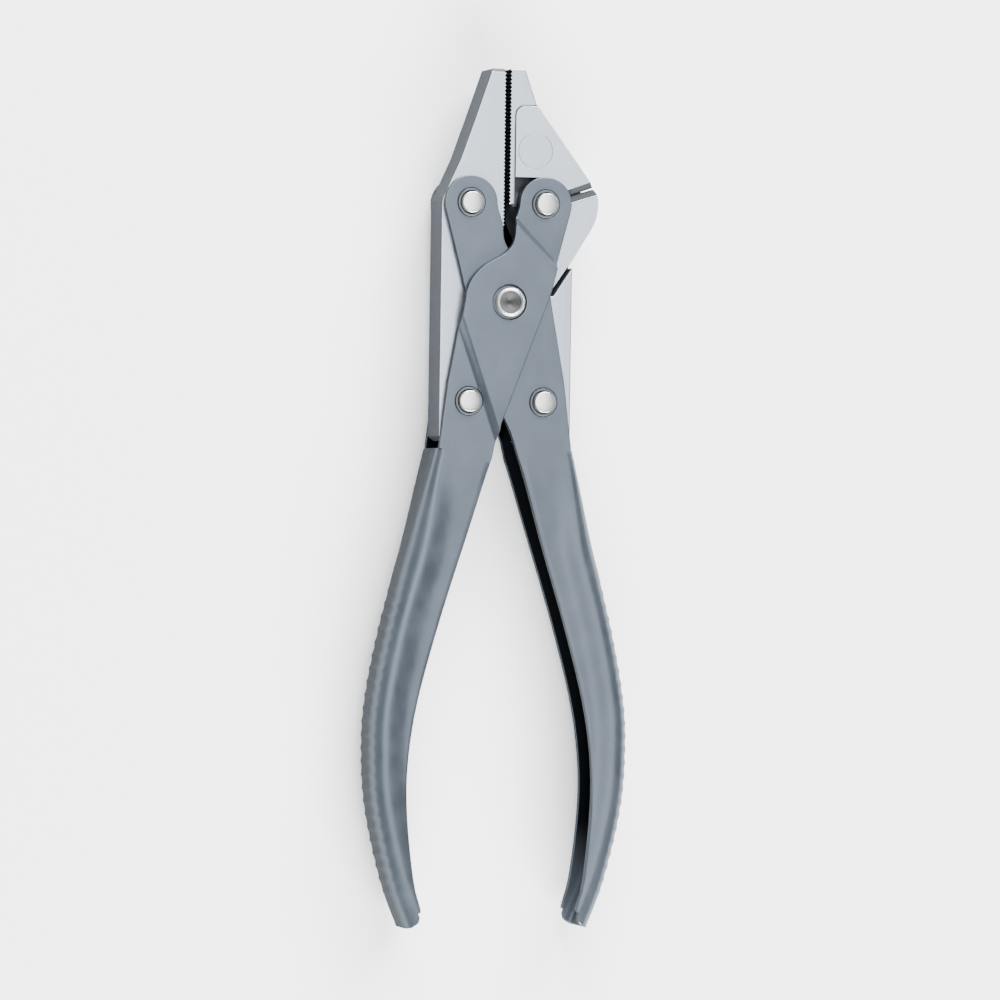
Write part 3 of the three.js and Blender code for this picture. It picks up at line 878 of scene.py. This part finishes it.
class PLIERS_OT_cutter(bpy.types.Operator):
    """Breaks the edges of the cutter plates and turns their fasteners"""
    bl_idname = "pliers.cutter"
    bl_label = "Cutter"

    def execute(self, context):
        width = context.scene.pliers_jaws.plate_edge
        turns = context.scene.pliers_rivets.turns
        for node in ("fixed_cutter_blade", "moving_cutter_blade"):
            bm = node_copy(node)
            shade_faces(bm, blade_shade)
            soften(bm, width)
            finish_piece(bm, node, bpy.data.materials["Cutter plate steel"], math.radians(25))
        bm = node_copy("cutter_blade_rivet")
        soften(bm, 0.06 * MM)
        finish_piece(bm, "cutter_blade_rivet", bpy.data.materials["Ground jaw steel"])
        size = size_of("cutter_dowel")
        chamfer = 0.2 * MM
        radius, end = size.x / 2, size.z / 2
        profile = [(0, -end), (radius - chamfer, -end), (radius, chamfer - end), (radius, end - chamfer),
                   (radius - chamfer, end), (0, end)]
        finish_piece(turned(profile, middle_of("cutter_dowel"), turns), "cutter_dowel",
                     bpy.data.materials["Polished rivet steel"])
        return {"FINISHED"}


class PLIERS_OT_rivets(bpy.types.Operator):
    """Turns the jaw and slot rivets and their collars"""
    bl_idname = "pliers.rivets"
    bl_label = "Rivets"

    def execute(self, context):
        settings = context.scene.pliers_rivets
        for name in ("right_jaw", "left_slot", "left_jaw", "right_slot"):
            node = f"{name}_rivet"
            bm = turned(pin_profile(node, settings), middle_of(node), settings.turns)
            shade_faces(bm, pin_shade)
            finish_piece(bm, node, bpy.data.materials["Polished rivet steel"])
            for face in ("upper_face", "under_face"):
                node = f"{name}_collar_{face}"
                size = size_of(node)
                profile = ring_profile(2.42 * MM, size.x / 2, -size.z / 2, size.z / 2, 0.1 * MM)
                bm = turned(profile, middle_of(node), settings.turns, closed=True)
                finish_piece(bm, node, bpy.data.materials["Dull collar steel"])
        return {"FINISHED"}


class PLIERS_OT_pivots(bpy.types.Operator):
    """Turns the two hollow pivot rivets and their bushings"""
    bl_idname = "pliers.pivots"
    bl_label = "Pivots"

    def execute(self, context):
        turns = context.scene.pliers_rivets.turns
        for end, over in (("front", False), ("rear", True)):
            node = f"{end}_pivot_rivet"
            centre = middle_of(node)
            if over:
                centre.z = 2 * PIVOT.z - centre.z
            bm = turned(pivot_profile(node), centre, turns)
            shade_faces(bm, pivot_shade)
            if over:
                turn_over(bm)
            finish_piece(bm, node, bpy.data.materials["Polished rivet steel"])
            node = f"{end}_pivot_bushing"
            size = size_of(node)
            profile = ring_profile(3.05 * MM, size.x / 2, -size.z / 2, size.z / 2, 0.08 * MM)
            bm = turned(profile, middle_of(node), turns, closed=True)
            finish_piece(bm, node, bpy.data.materials["Dull collar steel"])
        return {"FINISHED"}


def aim(thing, place, target):
    thing.location = place
    thing.rotation_euler = (Vector(target) - Vector(place)).to_track_quat("-Z", "Y").to_euler()


def soft_light(name, place, size, power, colour=(1, 1, 1)):
    data = bpy.data.lights.new(name, "AREA")
    data.shape = "RECTANGLE"
    data.size, data.size_y = size
    data.energy = power
    data.color = colour
    light = bpy.data.objects.new(name, data)
    bpy.context.scene.collection.objects.link(light)
    aim(light, place, (0, 0, 0))
    return light


# Power of the two weaker lights against the key, and the middle of the view from the pivot.
TOP_SHARE = 0.1
LEFT_SHARE = 0.008
VIEW_CENTRE = (0.69, -41.3, 0)


class PLIERS_OT_stage(bpy.types.Operator):
    """Sets the floor, the lights and the camera"""
    bl_idname = "pliers.stage"
    bl_label = "Stage"

    def execute(self, context):
        settings = context.scene.pliers_stage
        bm = bmesh.new()
        bmesh.ops.create_grid(bm, x_segments=1, y_segments=1, size=3.0)
        mesh = bpy.data.meshes.new("floor")
        bm.to_mesh(mesh)
        bm.free()
        floor = bpy.data.objects.new("floor", mesh)
        context.scene.collection.objects.link(floor)
        paint = bpy.data.materials.new("Plain floor")
        paint.use_nodes = True
        shader = paint.node_tree.nodes["Principled BSDF"]
        shader.inputs["Base Color"].default_value = (*settings.floor_colour, 1)
        shader.inputs["Roughness"].default_value = 0.9
        shader.inputs["Specular IOR Level"].default_value = 0.1
        mesh.materials.append(paint)

        world = bpy.data.worlds.new("Even light")
        world.use_nodes = True
        world.node_tree.nodes["Background"].inputs["Color"].default_value = (1, 1, 1, 1)
        world.node_tree.nodes["Background"].inputs["Strength"].default_value = settings.fill
        context.scene.world = world

        soft_light("Head light", (0.2, 1.2, 0.8), (1.4, 0.6), settings.key)
        soft_light("Foot light", (0.2, -1.2, 0.8), (1.4, 0.6), settings.key)
        soft_light("Top light", (0.0, 0.2, 1.5), (1.0, 0.9), settings.key * TOP_SHARE)
        soft_light("Left light", (-1.1, 0.0, 0.9), (0.5, 1.4), settings.key * LEFT_SHARE)

        tilt, roll = settings.tilt, settings.roll
        right = Vector((math.cos(tilt), 0, math.sin(tilt)))
        up = Vector((0, 1, 0))
        back = Vector((-math.sin(tilt), 0, math.cos(tilt)))
        rolled_right = right * math.cos(roll) + up * math.sin(roll)
        rolled_up = up * math.cos(roll) - right * math.sin(roll)
        target = PIVOT + Vector(VIEW_CENTRE) * MM
        data = bpy.data.cameras.new("Camera")
        data.sensor_width = 36
        data.lens = data.sensor_width * settings.distance / settings.view_width
        data.clip_end = 10
        camera = bpy.data.objects.new("Camera", data)
        context.scene.collection.objects.link(camera)
        turn = Matrix((rolled_right, rolled_up, back)).transposed().to_4x4()
        camera.matrix_world = Matrix.Translation(target + back * settings.distance) @ turn
        context.scene.camera = camera
        return {"FINISHED"}


class PLIERS_PT_panel(bpy.types.Panel):
    """Lists the pieces and their settings"""
    bl_idname = "PLIERS_PT_panel"
    bl_label = "Parallel pliers"
    bl_space_type = "VIEW_3D"
    bl_region_type = "UI"
    bl_category = "Pliers"

    def draw(self, context):
        for group in ("pliers_steels", "pliers_handles", "pliers_jaws", "pliers_rivets", "pliers_stage"):
            box = self.layout.box()
            settings = getattr(context.scene, group)
            for name in settings.bl_rna.properties.keys():
                if name not in ("rna_type", "name"):
                    box.prop(settings, name)
        for step in STEPS:
            self.layout.operator(step.bl_idname)


STEPS = (PLIERS_OT_steels, PLIERS_OT_handles, PLIERS_OT_jaws, PLIERS_OT_cutter, PLIERS_OT_rivets,
         PLIERS_OT_pivots, PLIERS_OT_stage)
GROUPS = {"pliers_steels": SteelSettings, "pliers_handles": HandleSettings, "pliers_jaws": JawSettings,
          "pliers_rivets": RivetSettings, "pliers_stage": StageSettings}


def register():
    for name, group in GROUPS.items():
        bpy.utils.register_class(group)
        setattr(bpy.types.Scene, name, bpy.props.PointerProperty(type=group))
    for step in STEPS:
        bpy.utils.register_class(step)
    bpy.utils.register_class(PLIERS_PT_panel)


def unregister():
    bpy.utils.unregister_class(PLIERS_PT_panel)
    for step in reversed(STEPS):
        bpy.utils.unregister_class(step)
    for name, group in GROUPS.items():
        delattr(bpy.types.Scene, name)
        bpy.utils.unregister_class(group)


def main():
    register()
    for step in STEPS:
        area, name = step.bl_idname.split(".")
        getattr(getattr(bpy.ops, area), name)()


if __name__ == "__main__":
    main()
